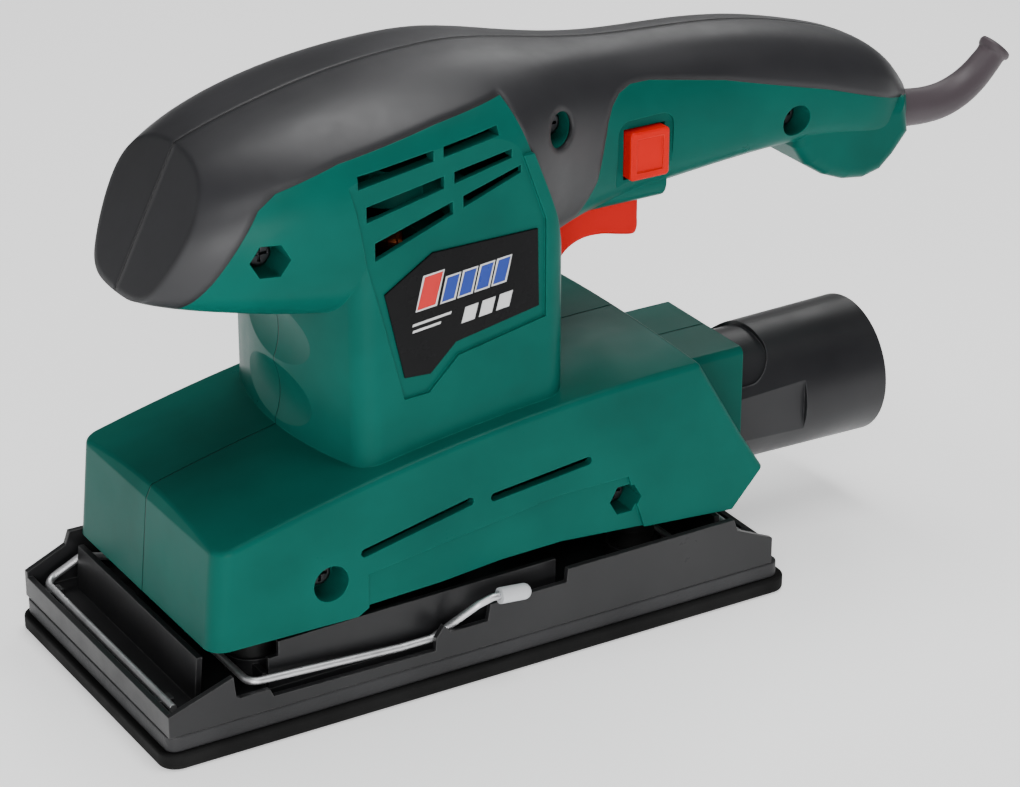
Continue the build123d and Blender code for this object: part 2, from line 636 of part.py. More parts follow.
def make_shaft():
    """Motor shaft, stepped for its bearings, with the offset journal at its foot."""
    shaft = upright(MOTOR_X, 0, WEIGHT_Z, 3.98, COMMUTATOR_Z + 12 - WEIGHT_Z)
    shaft = shaft + upright(MOTOR_X, 0, COMMUTATOR_Z + 12, 3.5, SHAFT_TOP - COMMUTATOR_Z - 12)
    journal = upright(MOTOR_X + THROW, 0, HUB_Z - 0.6, BEARING_6000["bore"] / 2, 11.0)
    return shaft + journal + upright(MOTOR_X, 0, WEIGHT_Z, 6.4, 1.2)


def make_counterweight():
    """Half-round balance weight opposite the offset journal."""
    disc = upright(MOTOR_X, 0, WEIGHT_Z + 1.3, 21.0, 7.4)
    half = disc & block((MOTOR_X - 30, MOTOR_X), (-30, 30), (0, 60))
    hub = upright(MOTOR_X, 0, WEIGHT_Z + 1.3, 8.0, 7.4)
    return half + hub - upright(MOTOR_X, 0, WEIGHT_Z, 4.0, 20)


def make_motor():
    """Everything in the motor column."""
    core, windings, commutator = make_armature()
    stator, coils = make_stator()
    holders, brushes, springs = make_brushes()
    upper = ball_bearing(MOTOR_X, UPPER_BEARING_Z, **BEARING_607)
    lower = ball_bearing(MOTOR_X, LOWER_BEARING_Z, **BEARING_608)
    sleeve = ring(MOTOR_X, 0, UPPER_BEARING_Z, 11.45, BEARING_607["outer"] / 2 + 0.02, 6.0)
    return {
        "rotor_shaft": make_shaft(),
        "armature_core": core,
        "armature_windings": windings,
        "commutator": commutator,
        "cooling_fan": make_fan(),
        "counterweight": make_counterweight(),
        "upper_ball_bearing": upper,
        "lower_ball_bearing": lower,
        "upper_bearing_sleeve": sleeve,
        "stator_core": stator,
        "field_coils": coils,
        "brush_holders": holders,
        "carbon_brushes": brushes,
        "brush_springs": springs,
    }


# ---- Platen -------------------------------------------------------------------------------
NEAR_WALL = [
    (TRAY_FRONT, TRAY_Z), (TRAY_FRONT, 14.6), (-73.6, 20.8), (-73.0, 15.2), (-71.8, 14.4),
    (-63.6, 14.4), (-62.6, 12.2), (-16.2, 11.6), (-15.8, 15.2), (-13.6, 18.2), (-11.6, 15.9),
    (-0.6, 15.9), (0.2, 20.6), (23.2, 20.6), (23.6, 24.4), (75.7, 24.9), (77.0, 21.3),
    (TRAY_REAR, 16.2), (TRAY_REAR, TRAY_Z),
]
INNER_WALL = [
    (-61.0, TRAY_Z), (-61.0, 19.6), (-58.0, 19.6), (-58.0, 23.6), (-33.0, 24.2), (23.4, 24.8),
    (23.4, TRAY_Z),
]
RIB_X = (-80.2, -78.6)
RIB_Y = (-33.9, 36.2)
RIB_TOP = 23.2
RIB_LEAN = 1.2
BAR_X = -88.0                  # the clamp wire's front bar, which it turns on
BAR_Z = 14.0
AXLE_X = -68.0
AXLE_Z = 16.2
LEVER_Y = -40.4
TIP_Y = -45.6
CLAMP_WIRE = [
    (BAR_X, -38.5, BAR_Z), (BAR_X, 38.0, BAR_Z), (-77.5, 38.0, 19.0), (AXLE_X, 38.0, AXLE_Z),
    (AXLE_X, LEVER_Y, AXLE_Z), (-25.0, LEVER_Y, 13.8), (-15.5, LEVER_Y, 13.8),
    (-11.0, LEVER_Y - 0.2, 16.0), (-4.6, TIP_Y + 0.6, 22.6), (-0.5, TIP_Y, 24.0), (6.0, TIP_Y, 23.4),
]
CLAMP_BENDS = [3.0, 2.4, 2.4, 3.0, 20.0, 4.0, 4.0, 3.0, 4.0]
HALF_TURN = Pos(TRAY_CENTRE_X, 0, 0) * Rot(0, 0, 180) * Pos(-TRAY_CENTRE_X, 0, 0)


def rounded_plate(x_range, half, z_low, z_high, corner, rim):
    """Flat plate with rounded corners and softened upper and lower rims."""
    solid = block(x_range, (-half, half), (z_low, z_high))
    solid = fillet(solid.edges().filter_by(Axis.Z), corner)
    return fillet(solid.edges().filter_by(Plane.XY), rim) if rim else solid


def make_tray():
    """Moulded tray on the plate: floor, walls, clamp channels, ribs, hub and post bosses."""
    tray = rounded_plate((TRAY_FRONT, TRAY_REAR), TRAY_HALF, TRAY_Z, FLOOR_TOP, 2.0, 0)
    ends = block((TRAY_FRONT, TRAY_FRONT + TRAY_WALL), (-TRAY_HALF + 1, TRAY_HALF - 1), (TRAY_Z, 14.6))
    near = side_slab(NEAR_WALL, -TRAY_HALF, -TRAY_HALF + TRAY_WALL)
    inner = side_slab(INNER_WALL, -37.4, -36.0)
    rib = side_slab([(RIB_X[0], TRAY_Z), (RIB_X[1], TRAY_Z), (RIB_X[1] + RIB_LEAN, RIB_TOP),
                     (RIB_X[0] + RIB_LEAN, RIB_TOP)], *RIB_Y)
    saddles = []
    for y in (-33.0, 33.0):
        saddle = block((BAR_X - 2.2, BAR_X + 2.2), (y - 1.5, y + 1.5), (TRAY_Z, BAR_Z + 0.4))
        saddles.append(saddle - along_y(BAR_X, BAR_Z, WIRE + RUNNING_GAP, y - 3, y + 3))
    cross = block((-66.4, -30.0), (-1.0, 1.0), (TRAY_Z, 15.0))
    cross = cross + block((-62.0, -60.4), (-36.0, 36.0), (TRAY_Z, 15.0))
    half = [ends, near, inner, rib, cross] + saddles
    tray = tray + half + [HALF_TURN * piece for piece in half]
    tray = tray + upright(MOTOR_X + THROW, 0, TRAY_Z, 16.0, HUB_TOP - TRAY_Z)
    for x, y in POST_SITES:
        tray = tray + upright(x, y, TRAY_Z, POST_RADIUS + 1, POST_SEAT - TRAY_Z)
    tray = tray - upright(MOTOR_X + THROW, 0, HUB_Z, BEARING_6000["outer"] / 2, 20)
    return tray - upright(MOTOR_X + THROW, 0, TRAY_Z + TRAY_FLOOR, 8.0, 20)


def along_y(x, z, radius, y_low, y_high):
    """Bar along Y, open upward, for a wire saddle."""
    bar = across(x, z, radius, y_low, y_high)
    return bar + block((x - radius, x + radius), (y_low, y_high), (z, z + 5))


def make_clamp():
    """One bent steel wire: front bar, far arm, cross bar and side lever."""
    path = FilletPolyline(*CLAMP_WIRE, radius=CLAMP_BENDS)
    start = Plane(origin=path @ 0, z_dir=path % 0)
    wire = sweep(start * Circle(WIRE), path)
    tip = Vector(*CLAMP_WIRE[-1])
    back = Vector(*CLAMP_WIRE[-2])
    way = (tip - back).normalized()
    cap = Plane(origin=tip - way * 4.6, z_dir=way) * Pos(0, 0, 4.6) * Cylinder(2.15, 9.2)
    end = cap.edges().filter_by(lambda e: (e.center() - tip).dot(way) > 3)
    cap = fillet(end, 2.0)
    return wire, cap - wire


def make_post(x, y):
    """Waisted rubber post between the tray and the housing deck."""
    height = DECK_LOW - POST_SEAT
    post = upright(x, y, POST_SEAT + SEAM, POST_RADIUS, height - SEAM)
    waist = revolve(Pos(POST_RADIUS + 3.2, 0) * Plane.XZ * Circle(5.2), Axis.Z)
    waist = Pos(x, y, POST_SEAT + height / 2) * waist
    return post - waist - upright(x, y, POST_SCREW_FOOT, 1.7, 20)


def make_platen():
    """Pad, plate, tray, posts, bearing and both wire clamps."""
    pad = rounded_plate((-PAD_LENGTH / 2, PAD_LENGTH / 2), PAD_WIDTH / 2, 0, PAD_THICK, 5.0, 0.8)
    plate_x = (PLATE_CENTRE_X - PLATE_LENGTH / 2, PLATE_CENTRE_X + PLATE_LENGTH / 2)
    plate = rounded_plate(plate_x, PLATE_WIDTH / 2, PLATE_Z, TRAY_Z, 3.0, 0.5)
    wire, cap = make_clamp()
    posts = [make_post(x, y) for x, y in POST_SITES]
    screws = []
    for x, y in POST_SITES:
        foot_z = POST_SCREW_FOOT + 0.2
        shank = upright(x, y, foot_z, 1.6, DECK_HIGH - foot_z)
        screws.append(shank + upright(x, y, DECK_HIGH, 3.4, 2.2))
    bearing = ball_bearing(MOTOR_X + THROW, HUB_Z, **BEARING_6000)
    clip = ring(MOTOR_X + THROW, 0, HUB_Z + 8.05, 12.4, 8.6, 0.45)
    return {
        "sanding_pad": pad,
        "backing_plate": plate,
        "platen_tray": make_tray(),
        "eccentric_bearing": bearing,
        "bearing_shield": clip,
        "rubber_posts": Compound(children=posts),
        "post_screws": Compound(children=screws),
        "front_clamp_wire": wire,
        "front_clamp_cap": cap,
        "rear_clamp_wire": HALF_TURN * wire,
        "rear_clamp_cap": HALF_TURN * cap,
    }


# ---- Rear fittings, label and fasteners ---------------------------------------------------
def make_nozzle():
    """Dust nozzle: a slightly tapered tube with side flats, a stepped top and a spigot."""
    x0, x1 = NOZZLE_X
    plane = Plane(origin=(x0, 0, NOZZLE_Z), z_dir=(1, 0, 0))
    tube = loft([plane * Circle(18.8), plane.offset(x1 - x0) * Circle(19.6)])
    tube = fillet(tube.edges().sort_by(Axis.X)[-1], 0.5)
    for side in (-1, 1):
        flat = block((x0 - 1, x0 + 22), sorted((side * 17.7, side * 30)), (0, 80))
        tube = tube - flat
    corner = 9.0
    notch = block((x0 - 1, x0 + 14), (-16.3, 16.3), (NOZZLE_Z + 8, 80))
    notch = fillet(notch.edges().filter_by(Axis.Z).group_by(Axis.X)[-1], corner)
    tube = tube - (notch - along(x0 - 2, x0 + 20, 0, NOZZLE_Z, 17.9))
    tube = tube + along(x0 - 9.0, x0, 0, NOZZLE_Z, SPIGOT)
    tube = tube - along(x0 - 10, x0 + 14, 0, NOZZLE_Z, SPIGOT - 1.6)
    return tube - along(x0 + 14, x1 + 1, 0, NOZZLE_Z, 17.4)


SLEEVE_PATH = [                # x, z, outer radius, bore radius
    (146.0, SLEEVE_Z, 5.25, 3.3),
    (153.2, SLEEVE_Z, 5.25, 3.3),
    (157.0, 112.4, 5.25, 3.3),
    (162.0, 111.8, 5.2, 3.3),
    (167.0, 111.6, 5.1, 3.2),
    (171.5, 111.9, 5.0, 3.1),
    (175.5, 112.9, 4.85, 3.0),
    (179.5, 114.6, 4.65, 2.9),
    (183.0, 116.9, 4.4, 2.7),
    (186.2, 119.7, 4.2, 2.5),
    (188.8, 122.5, 4.05, 2.4),
    (189.2, 122.9, 4.6, 2.4),
    (190.0, 123.8, 4.75, 2.4),
    (190.7, 124.6, 4.5, 2.5),
]


def sleeve_run(radii):
    """Curved run of short cones along the sleeve's path."""
    sections = []
    for index, radius in enumerate(radii):
        x, z = SLEEVE_PATH[index][:2]
        before = SLEEVE_PATH[max(index - 1, 0)]
        after = SLEEVE_PATH[min(index + 1, len(SLEEVE_PATH) - 1)]
        plane = Plane(origin=(x, 0, z), z_dir=(after[0] - before[0], 0, after[1] - before[1]))
        sections.append(plane * Circle(radius))
    return loft(sections, ruled=True)


def make_sleeve():
    """Strain relief sleeve: a flange inside the handle, a curved taper and a rolled rim."""
    run = sleeve_run([stop[2] for stop in SLEEVE_PATH]) - sleeve_run([stop[3] for stop in SLEEVE_PATH])
    start = SLEEVE_PATH[0][0]
    inner = along(FLANGE_X[0], start, 0, SLEEVE_Z, SLEEVE_PATH[0][2])
    inner = inner + along(*FLANGE_X, 0, SLEEVE_Z, FLANGE_RADIUS)
    return run + (inner - along(FLANGE_X[0] - 1, start, 0, SLEEVE_Z, CORD_BORE))


def make_screws():
    """Five housing screws: head in its recess, shank into the far boss."""
    screws = []
    for x, z, half, is_hex, radius in SCREW_SITES:
        seat = -half + RECESS_DEPTH
        head = across(x, z, 3.5, seat - 2.6, seat)
        head = fillet(head.edges().sort_by(Axis.Y)[0], 1.0)
        head = head - block((x - 2.2, x + 2.2), (seat - 3, seat - 1.4), (z - 0.4, z + 0.4))
        head = head - block((x - 0.4, x + 0.4), (seat - 3, seat - 1.4), (z - 2.2, z + 2.2))
        screws.append(head + across(x, z, 1.55, seat, half - 9))
    return Compound(children=screws)


def make_fittings():
    """Label, cord clamp, capacitor, nozzle, sleeve and screws."""
    deep = NECK_HALF - PANEL_DEPTH
    label = side_slab(LABEL, -deep - LABEL_THICK, -deep - 0.02)
    plate = side_slab(LABEL, deep + 0.02, deep + LABEL_THICK)
    clamp = block((CLAMP_X - 4.5, CLAMP_X + 4.5), (-12.0, 12.0), (CLAMP_SEAT, CLAMP_TOP))
    clamp = clamp - along(120, 145, 0, SLEEVE_Z, 3.6)
    clamp_screws = []
    for side in (-1, 1):
        clamp = clamp - upright(CLAMP_X, side * CLAMP_Y, 110, 1.6, 20)
        shank = upright(CLAMP_X, side * CLAMP_Y, 106, 1.25, 14)
        clamp_screws.append(shank + upright(CLAMP_X, side * CLAMP_Y, CLAMP_TOP + 0.02, 2.8, 2.0))
    capacitor = block((82.0, 100.0), (-4.5, 4.5), (122.0, 134.0))
    capacitor = fillet(capacitor.edges(), 0.8)
    return {
        "side_label": label,
        "rating_plate": plate,
        "cord_clamp": clamp,
        "cord_clamp_screws": Compound(children=clamp_screws),
        "capacitor": capacitor,
        "dust_nozzle": make_nozzle(),
        "cord_sleeve": make_sleeve(),
        "housing_screws": make_screws(),
    }


def build():
    """Write one file per named piece."""
    os.makedirs("parts", exist_ok=True)
    parts = {}
    parts.update(make_housing())
    parts.update(make_controls())
    parts.update(make_motor())
    parts.update(make_platen())
    parts.update(make_fittings())
    for name, part in parts.items():
        export_step(part, os.path.join("parts", name + ".step"))
    print(len(parts), "nodes written")


build()
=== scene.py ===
import json
from math import atan2, cos, pi, radians, sin

import bmesh
import bpy
from mathutils import Matrix, Vector


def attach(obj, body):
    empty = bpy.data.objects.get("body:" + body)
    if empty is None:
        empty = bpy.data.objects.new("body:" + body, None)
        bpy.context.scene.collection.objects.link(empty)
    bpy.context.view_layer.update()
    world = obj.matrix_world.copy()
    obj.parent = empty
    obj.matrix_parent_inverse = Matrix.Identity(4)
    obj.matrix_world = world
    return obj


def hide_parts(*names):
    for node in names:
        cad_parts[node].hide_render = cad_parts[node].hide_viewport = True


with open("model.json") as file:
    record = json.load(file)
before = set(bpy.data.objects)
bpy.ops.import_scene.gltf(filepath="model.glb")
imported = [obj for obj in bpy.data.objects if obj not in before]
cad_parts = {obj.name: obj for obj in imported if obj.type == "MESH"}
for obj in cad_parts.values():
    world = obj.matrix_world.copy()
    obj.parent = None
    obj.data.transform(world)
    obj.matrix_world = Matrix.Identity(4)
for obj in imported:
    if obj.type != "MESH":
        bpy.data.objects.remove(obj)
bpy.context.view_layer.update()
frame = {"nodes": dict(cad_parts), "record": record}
nodes = frame["nodes"]
scene = bpy.context.scene

MM = 0.001


# ---- Camera, light and floor --------------------------------------------------------------
CAMERA_PLACE = (-0.392418, -0.703758, 0.440601)
CAMERA_AZIMUTH, CAMERA_ELEVATION, CAMERA_ROLL = -31.0932, 25.1189, 0.071    # degrees
SENSOR_WIDTH, LENS = 36.0, 120.19                                          # millimetres
CLIP_NEAR, CLIP_FAR = 0.01, 20.0

# Name, place, point aimed at, width and height in metres, power in watts.
LIGHTS = (
    ("key", (-0.42, -0.70, 0.58), (-0.05, 0.0, 0.04), (0.40, 0.30), 2.3),
    ("low", (-0.22, -0.44, 0.07), (-0.03, 0.0, 0.035), (0.25, 0.12), 1.05),
    ("front", (-1.0, 0.10, 0.6), (-0.05, 0.0, 0.06), (0.3, 0.4), 0.8),
    ("top", (0.16, 0.02, 1.0), (0.04, 0.0, 0.1), (1.0, 0.24), 9.0),
    ("rear", (0.75, 0.75, 0.75), (0.05, 0.0, 0.1), (0.5, 0.4), 2.5),
)
WORLD_COLOUR, WORLD_STRENGTH = (0.93, 0.94, 0.95, 1.0), 0.16
FLOOR_SIZE, FLOOR_LEVEL = 8.0, -0.0002
FLOOR_COLOUR, FLOOR_ROUGH = (0.95, 0.95, 0.95, 1.0), 0.8
FLOOR_GLOW, FLOOR_GLOW_STRENGTH = (1.0, 1.0, 1.0, 1.0), 0.6


def make_camera():
    azimuth, elevation = radians(CAMERA_AZIMUTH), radians(CAMERA_ELEVATION)
    back = Vector((sin(azimuth) * cos(elevation), -cos(azimuth) * cos(elevation), sin(elevation)))
    right = Vector((cos(azimuth), sin(azimuth), 0.0))
    turn = Matrix((right, back.cross(right), back)).transposed().to_4x4()
    data = bpy.data.cameras.new("camera")
    data.sensor_width = SENSOR_WIDTH
    data.lens = LENS
    data.clip_start = CLIP_NEAR
    data.clip_end = CLIP_FAR
    camera = bpy.data.objects.new("camera", data)
    roll = Matrix.Rotation(radians(CAMERA_ROLL), 4, "Z")
    camera.matrix_world = Matrix.Translation(CAMERA_PLACE) @ turn @ roll
    scene.collection.objects.link(camera)
    scene.camera = camera


def area_light(name, place, aim, size, power):
    data = bpy.data.lights.new(name, "AREA")
    data.shape = "RECTANGLE"
    data.size, data.size_y = size
    data.energy = power
    light = bpy.data.objects.new(name, data)
    light.location = place
    direction = Vector(aim) - Vector(place)
    light.rotation_euler = direction.to_track_quat("-Z", "Y").to_euler()
    scene.collection.objects.link(light)


def make_world():
    world = bpy.data.worlds.new("world")
    scene.world = world
    world.use_nodes = True
    background = world.node_tree.nodes["Background"]
    background.inputs["Color"].default_value = WORLD_COLOUR
    background.inputs["Strength"].default_value = WORLD_STRENGTH


def make_floor():
    bpy.ops.mesh.primitive_plane_add(size=FLOOR_SIZE, location=(0.0, 0.0, FLOOR_LEVEL))
    floor = bpy.context.object
    floor.name = "floor"
    material = bpy.data.materials.new("floor")
    material.use_nodes = True
    shader = material.node_tree.nodes["Principled BSDF"]
    shader.inputs["Base Color"].default_value = FLOOR_COLOUR
    shader.inputs["Roughness"].default_value = FLOOR_ROUGH
    shader.inputs["Emission Color"].default_value = FLOOR_GLOW
    shader.inputs["Emission Strength"].default_value = FLOOR_GLOW_STRENGTH
    floor.data.materials.append(material)


make_camera()
for light in LIGHTS:
    area_light(*light)
make_world()
make_floor()


# ---- Materials ----------------------------------------------------------------------------
BEVEL_SAMPLES = 6
# One less the dot product of the plain and the rounded normal, from no edge to a full edge.
EDGE_LOW, EDGE_HIGH = 0.02, 0.25
SEAM_CORE = 0.4    # share of the parting line's half width that is fully dark
MIX_FACTOR, MIX_A, MIX_B, MIX_OUT = 0, 6, 7, 2    # the Mix node's sockets for colours


class Nodes:
    """Short way to write a material's node tree."""

    def __init__(self, name):
        self.material = bpy.data.materials.new(name)
        self.material.use_nodes = True
        self.tree = self.material.node_tree
        self.shader = self.tree.nodes["Principled BSDF"]
        self.place = self.add("ShaderNodeTexCoord").outputs["Object"]

    def add(self, kind, **settings):
        node = self.tree.nodes.new(kind)
        for key, value in settings.items():
            setattr(node, key, value)
        return node

    def link(self, start, end):
        self.tree.links.new(start, end)

    def feed(self, socket, value):
        """Give a socket a number, a colour or another node's output."""
        if isinstance(value, (int, float)):
            socket.default_value = value
        elif isinstance(value, tuple):
            socket.default_value = (*value, 1.0)
        else:
            self.link(value, socket)

    def noise(self, scale, detail, rough, stretch=None):
        """Noise in the frame's metres: features per metre, octaves, and their roughness."""
        node = self.add("ShaderNodeTexNoise")
        node.inputs["Scale"].default_value = scale
        node.inputs["Detail"].default_value = detail
        node.inputs["Roughness"].default_value = rough
        source = self.place
        if stretch:
            mapping = self.add("ShaderNodeMapping")
            mapping.inputs["Scale"].default_value = stretch
            self.link(source, mapping.inputs["Vector"])
            source = mapping.outputs["Vector"]
        self.link(source, node.inputs["Vector"])
        return node.outputs["Fac"]

    def spread(self, source, low, high, start=0.3, end=0.7):
        """Map a signal that runs from start to end onto low to high."""
        node = self.add("ShaderNodeMapRange")
        node.inputs["From Min"].default_value = start
        node.inputs["From Max"].default_value = end
        node.inputs["To Min"].default_value = low
        node.inputs["To Max"].default_value = high
        self.link(source, node.inputs["Value"])
        return node.outputs["Result"]

    def math(self, operation, *values):
        node = self.add("ShaderNodeMath", operation=operation)
        for socket, value in zip(node.inputs, values):
            self.feed(socket, value)
        return node.outputs[0]

    def mix(self, factor, a, b):
        node = self.add("ShaderNodeMix", data_type="RGBA")
        for index, value in ((MIX_FACTOR, factor), (MIX_A, a), (MIX_B, b)):
            self.feed(node.inputs[index], value)
        return node.outputs[MIX_OUT]

    def rounded_normal(self, radius):
        bevel = self.add("ShaderNodeBevel", samples=BEVEL_SAMPLES)
        bevel.inputs["Radius"].default_value = radius
        return bevel.outputs["Normal"]

    def edges(self, radius):
        """1 on convex and concave edges within radius, 0 on flat stretches."""
        rounded = self.rounded_normal(radius)
        plain = self.add("ShaderNodeNewGeometry").outputs["Normal"]
        dot = self.add("ShaderNodeVectorMath", operation="DOT_PRODUCT")
        self.link(rounded, dot.inputs[0])
        self.link(plain, dot.inputs[1])
        lean = self.math("SUBTRACT", 1.0, dot.outputs["Value"])
        return self.spread(lean, 0.0, 1.0, EDGE_LOW, EDGE_HIGH)

    def seam(self, half):
        """1 along the parting line at y = 0, fading to 0 at half its width, in metres."""
        split = self.add("ShaderNodeSeparateXYZ")
        self.link(self.place, split.inputs[0])
        away = self.math("ABSOLUTE", split.outputs["Y"])
        return self.spread(away, 1.0, 0.0, half * SEAM_CORE, half)

    def bump(self, layers, round_edges):
        """Layers of (height signal, strength, distance in metres), over softened edges."""
        normal = self.rounded_normal(round_edges)
        for signal, strength, distance in layers:
            node = self.add("ShaderNodeBump")
            node.inputs["Strength"].default_value = strength
            node.inputs["Distance"].default_value = distance
            self.link(signal, node.inputs["Height"])
            self.link(normal, node.inputs["Normal"])
            normal = node.outputs["Normal"]
        self.link(normal, self.shader.inputs["Normal"])

    def set(self, **sockets):
        for name, value in sockets.items():
            self.feed(self.shader.inputs[name.replace("_", " ")], value)


# Noises as features per metre, octaves and roughness; widths and depths are metres.
CLOUD_NOISE, EDGE_PATCH_NOISE, RUB_NOISE = (22.0, 4.0, 0.55), (260.0, 4.0, 0.55), (55.0, 5.0, 0.65)
FLOW_NOISE, FLOW_STRETCH = (90.0, 3.0, 0.5), (0.25, 1.0, 1.0)    # long along the tool
GRAIN_OCTAVES, GRAIN_ROUGH = 2.0, 0.6
FLOW_TINT, EDGE_PATCH_LEAST, EDGE_PATCH_MOST = 0.22, 0.1, 0.75
FLOW_BUMP, FLOW_DEPTH, GRAIN_BUMP = 0.07, 0.00025, 0.35
EDGE_WEAR_AND_SHEEN_WIDTH = 0.00065
SEAM_SHADE, SEAM_DARKEN, SEAM_BUMP, SEAM_DEPTH = 0.8, 0.3, 0.5, 0.0002


def moulded(name, dark, light, rough, grain=2600.0, depth=0.00004, edge_wear_and_sheen=None, edge=0.0004,
            gloss=0.3, seam=None):
    """Moulded plastic or rubber: grain, faint flow marks, a parting line, and an edge colour that
    is wear on some finishes and a painted highlight on others.
    """
    n = Nodes(name)
    flow = n.noise(*FLOW_NOISE, FLOW_STRETCH)
    fine = n.noise(grain, GRAIN_OCTAVES, GRAIN_ROUGH)
    colour = n.mix(n.spread(n.noise(*CLOUD_NOISE), 0.0, 1.0), dark, light)
    colour = n.mix(n.spread(flow, 0.0, FLOW_TINT), colour, light)
    # Edge colour, in patches: worn edges on most finishes; on the green plastic and the soft grip
    # it is a painted highlight along the edges.
    if edge_wear_and_sheen:
        patches = n.spread(n.noise(*EDGE_PATCH_NOISE), EDGE_PATCH_LEAST, EDGE_PATCH_MOST)
        colour = n.mix(n.math("MULTIPLY", n.edges(EDGE_WEAR_AND_SHEEN_WIDTH), patches), colour, edge_wear_and_sheen)
    layers = [(flow, FLOW_BUMP, FLOW_DEPTH), (fine, GRAIN_BUMP, depth)]
    if seam:
        line = n.seam(seam)
        shade = tuple(channel * SEAM_DARKEN for channel in dark)
        colour = n.mix(n.math("MULTIPLY", line, SEAM_SHADE), colour, shade)
        layers.append((n.math("SUBTRACT", 1.0, line), SEAM_BUMP, SEAM_DEPTH))
    rubbed = n.spread(n.noise(*RUB_NOISE), *rough)
    n.set(Base_Color=colour, Roughness=rubbed, Specular_IOR_Level=gloss)
    n.bump(layers, edge)
    return n.material


LINE_NOISE, PATCH_NOISE = (1800.0, 3.0, 0.6), (140.0, 4.0, 0.55)
LINE_BUMP, LINE_DEPTH, PATCH_BUMP, PATCH_DEPTH = 0.12, 0.000008, 0.08, 0.00002
METAL_EDGE = 0.0002


def metal(name, dark, light, rough, stretch=(1.0, 1.0, 1.0)):
    """Metal with draw lines and duller patches."""
    n = Nodes(name)
    lines = n.noise(*LINE_NOISE, stretch)
    patch = n.noise(*PATCH_NOISE)
    colour = n.mix(n.spread(patch, 0.0, 1.0), dark, light)
    n.set(Base_Color=colour, Metallic=1.0, Roughness=n.spread(lines, *rough))
    n.bump([(lines, LINE_BUMP, LINE_DEPTH), (patch, PATCH_BUMP, PATCH_DEPTH)], METAL_EDGE)
    return n.material


# Per slot: dark and light colour, least and most roughness, then what is special to it.
MOULDED = {
    # green_plastic's edge colour is a brighter green: a painted highlight along its edges.
    "green_plastic": ((0.0003, 0.070, 0.054), (0.0008, 0.108, 0.084), (0.27, 0.38),
                      {"edge_wear_and_sheen": (0.004, 0.19, 0.14), "gloss": 0.06, "seam": 0.0003}),
    # soft_grip's edge colour is lighter than its body: a painted sheen on the facet edges.
    "soft_grip": ((0.013, 0.013, 0.0148), (0.021, 0.021, 0.0238), (0.38, 0.50),
                  {"grain": 3200.0, "depth": 0.00003, "edge_wear_and_sheen": (0.04, 0.04, 0.043),
                   "edge": 0.0024, "gloss": 0.42, "seam": 0.00035}),
    "black_plastic": ((0.012, 0.012, 0.014), (0.022, 0.022, 0.024), (0.34, 0.46),
                      {"edge_wear_and_sheen": (0.09, 0.09, 0.095)}),
    "tray_plastic": ((0.010, 0.010, 0.011), (0.020, 0.020, 0.021), (0.26, 0.44),
                     {"edge_wear_and_sheen": (0.10, 0.10, 0.10)}),
    "red_plastic": ((0.60, 0.003, 0.002), (0.72, 0.006, 0.004), (0.26, 0.38),
                    {"edge_wear_and_sheen": (0.85, 0.06, 0.04), "gloss": 0.08}),
    "pad_foam": ((0.004, 0.004, 0.004), (0.009, 0.009, 0.009), (0.6, 0.85),
                 {"grain": 1500.0, "depth": 0.00012, "edge_wear_and_sheen": (0.03, 0.03, 0.03),
                  "edge": 0.0006, "gloss": 0.12}),
    "plate_steel": ((0.012, 0.012, 0.013), (0.030, 0.030, 0.032), (0.38, 0.6),
                    {"grain": 1100.0, "depth": 0.00035, "edge_wear_and_sheen": (0.09, 0.09, 0.09)}),
    "label_film": ((0.004, 0.004, 0.0045), (0.009, 0.009, 0.0095), (0.22, 0.32),
                   {"grain": 4000.0, "depth": 0.00001, "gloss": 0.08}),
    "cap_vinyl": ((0.50, 0.51, 0.53), (0.64, 0.65, 0.67), (0.25, 0.4), {}),
    "sleeve_rubber": ((0.050, 0.040, 0.045), (0.075, 0.060, 0.068), (0.42, 0.6),
                      {"grain": 2200.0}),
    "post_rubber": ((0.008, 0.008, 0.008), (0.014, 0.014, 0.014), (0.5, 0.7), {}),
    "fan_plastic": ((0.60, 0.59, 0.55), (0.72, 0.71, 0.67), (0.35, 0.5), {}),
    "carbon": ((0.010, 0.010, 0.010), (0.022, 0.022, 0.022), (0.4, 0.6), {}),
    "capacitor_film": ((0.60, 0.40, 0.03), (0.72, 0.50, 0.06), (0.3, 0.45), {}),
}
METALS = {
    "wire_steel": ((0.58, 0.58, 0.59), (0.80, 0.80, 0.81), (0.40, 0.55)),
    # screw_steel is far darker than steel: painted shade standing for the shade inside the hex
    # recess.
    "screw_steel": ((0.05, 0.05, 0.055), (0.10, 0.10, 0.105), (0.34, 0.5)),
    "bearing_steel": ((0.45, 0.45, 0.46), (0.62, 0.62, 0.63), (0.18, 0.32)),
    "laminations": ((0.20, 0.19, 0.18), (0.34, 0.33, 0.31), (0.35, 0.55), (0.1, 0.1, 4.0)),
    "copper": ((0.55, 0.22, 0.10), (0.72, 0.34, 0.17), (0.25, 0.4), (0.2, 0.2, 3.0)),
    "brass_tube": ((0.55, 0.40, 0.14), (0.70, 0.53, 0.22), (0.2, 0.35)),
    "weight_iron": ((0.14, 0.14, 0.145), (0.25, 0.25, 0.255), (0.4, 0.6)),
    "spring_steel": ((0.40, 0.40, 0.41), (0.58, 0.58, 0.59), (0.22, 0.36)),
}
# The label's printed blocks: dark and light colour.
INKS = {
    "label_red": ((0.55, 0.010, 0.012), (0.66, 0.016, 0.018)),
    "label_blue": ((0.010, 0.035, 0.26), (0.016, 0.05, 0.34)),
    "label_white": ((0.62, 0.62, 0.62), (0.74, 0.74, 0.74)),
}
INK_ROUGH, INK_GRAIN, INK_DEPTH = (0.24, 0.34), 4000.0, 0.00001

